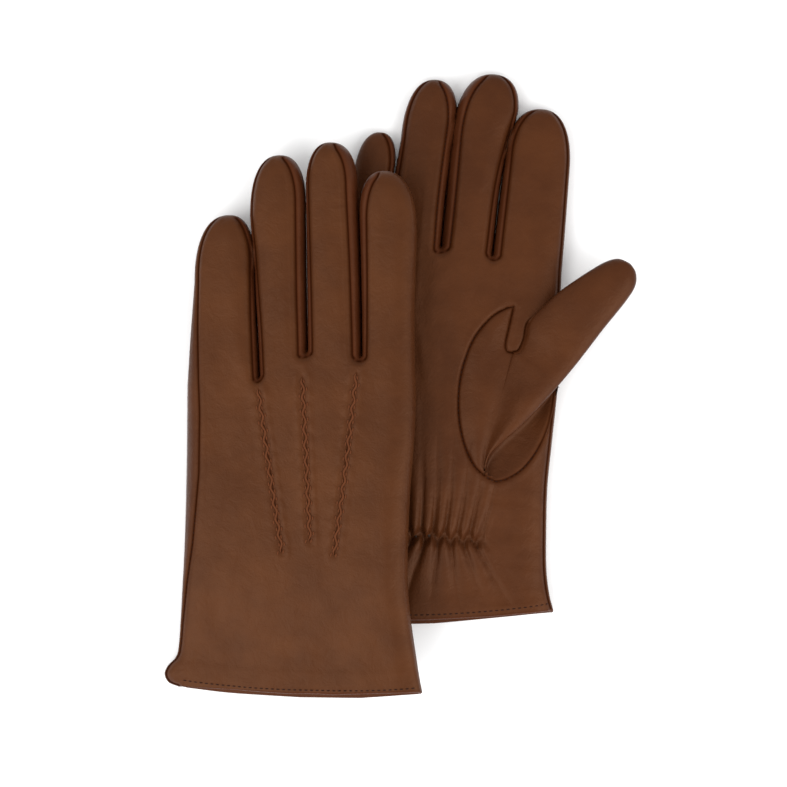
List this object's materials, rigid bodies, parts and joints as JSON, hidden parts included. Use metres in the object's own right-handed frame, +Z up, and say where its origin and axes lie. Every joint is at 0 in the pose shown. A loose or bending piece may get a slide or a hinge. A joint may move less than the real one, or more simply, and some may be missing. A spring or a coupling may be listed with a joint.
{
  "type": "touchscreen gloves",
  "caption": "Pair of brown nappa leather gloves with knitted lining, conductive fingertip pads, raised points on the back and an elastic wrist, lying one across the other.",
  "frame": {"origin": "on the table, under the middle of the lying pair", "axes": "+Z up from the table, +Y towards the fingertips, +X from the left glove to the right glove"},
  "size_m": [0.2087, 0.2763, 0.0327],
  "materials": {
    "leather_back": "satin nappa, brown, fine grain",
    "leather_palm": "satin nappa, brown, fine grain, softly creased",
    "leather_strips": "satin nappa, brown, skived thin",
    "leather_points": "pinched nappa ridge, slightly polished",
    "lining": "brushed knit",
    "thread": "waxed dark brown polyester thread",
    "elastic": "woven flat elastic",
    "touch_pad": "conductive silver-yarn knit"
  },
  "bodies": {
    "right_hand": {"right_back_panel": "leather_back", "right_palm_panel": "leather_palm", "right_hand_lining": "lining", "right_cuff_hem": "leather_strips", "right_hem_thread": "thread", "right_wrist_elastic": "elastic", "right_back_points": "leather_points", "right_thumb_quirk": "leather_strips", "right_ring_back": "leather_back", "right_ring_palm": "leather_palm", "right_little_back": "leather_back", "right_little_palm": "leather_palm", "right_ring_fourchette_outer": "leather_strips", "right_ring_fourchette_inner": "leather_strips", "right_little_fourchette_inner": "leather_strips", "right_thumb_base": "leather_palm"},
    "left_hand": {"left_back_panel": "leather_back", "left_palm_panel": "leather_palm", "left_hand_lining": "lining", "left_cuff_hem": "leather_strips", "left_hem_thread": "thread", "left_wrist_elastic": "elastic", "left_back_points": "leather_points", "left_thumb": "leather_palm", "left_thumb_lining": "lining", "left_thumb_quirk": "leather_strips", "left_thumb_touch_pad": "touch_pad"},
    "left_index": {"left_index_touch_pad": "touch_pad", "left_index_back": "leather_back", "left_index_palm": "leather_palm", "left_index_lining": "lining", "left_index_fourchette_outer": "leather_strips"},
    "left_middle": {"left_middle_back": "leather_back", "left_middle_palm": "leather_palm", "left_middle_lining": "lining", "left_middle_fourchette_outer": "leather_strips", "left_middle_fourchette_inner": "leather_strips"},
    "left_ring": {"left_ring_back": "leather_back", "left_ring_palm": "leather_palm", "left_ring_lining": "lining", "left_ring_fourchette_outer": "leather_strips", "left_ring_fourchette_inner": "leather_strips"},
    "left_little": {"left_little_back": "leather_back", "left_little_palm": "leather_palm", "left_little_lining": "lining", "left_little_fourchette_inner": "leather_strips"},
    "right_index": {"right_index_touch_pad": "touch_pad", "right_index_back": "leather_back", "right_index_palm": "leather_palm", "right_index_lining": "lining", "right_index_fourchette_outer": "leather_strips"},
    "right_middle": {"right_middle_back": "leather_back", "right_middle_palm": "leather_palm", "right_middle_lining": "lining", "right_middle_fourchette_outer": "leather_strips", "right_middle_fourchette_inner": "leather_strips"},
    "right_thumb": {"right_thumb": "leather_palm", "right_thumb_lining": "lining", "right_thumb_touch_pad": "touch_pad"}
  },
  "joints": [
    {"name": "left_glove_lift", "type": "slide", "parent": "right_hand", "child": "left_hand", "axis": [0, 0, 1], "range_m": [0, 0.15]},
    {"name": "left_index_fold", "type": "hinge", "parent": "left_hand", "child": "left_index", "pos_m": [-0.00604, 0.0126, 0.03125], "axis": [0.9833, 0, 0.1822], "range_deg": [0, 35]},
    {"name": "left_middle_fold", "type": "hinge", "parent": "left_hand", "child": "left_middle", "pos_m": [-0.03023, 0.0146, 0.02677], "axis": [0.9833, 0, 0.1822], "range_deg": [0, 35]},
    {"name": "left_ring_fold", "type": "hinge", "parent": "left_hand", "child": "left_ring", "pos_m": [-0.05304, 0.0146, 0.02254], "axis": [0.9833, 0, 0.1822], "range_deg": [0, 35]},
    {"name": "left_little_fold", "type": "hinge", "parent": "left_hand", "child": "left_little", "pos_m": [-0.07988, 0.0036, 0.01757], "axis": [0.9833, 0, 0.1822], "range_deg": [0, 35]},
    {"name": "right_index_curl", "type": "hinge", "parent": "right_hand", "child": "right_index", "pos_m": [0.05759, 0.05661, 0.013], "axis": [0.9962, -0.0872, 0], "range_deg": [0, 85]},
    {"name": "right_middle_curl", "type": "hinge", "parent": "right_hand", "child": "right_middle", "pos_m": [0.03043, 0.06059, 0.013], "axis": [0.9962, -0.0872, 0], "range_deg": [0, 85]},
    {"name": "right_thumb_fold", "type": "hinge", "parent": "right_hand", "child": "right_thumb", "pos_m": [0.06671, 0.01747, 0.024], "axis": [0.7193, -0.6947, 0], "range_deg": [0, 60]}
  ]
}
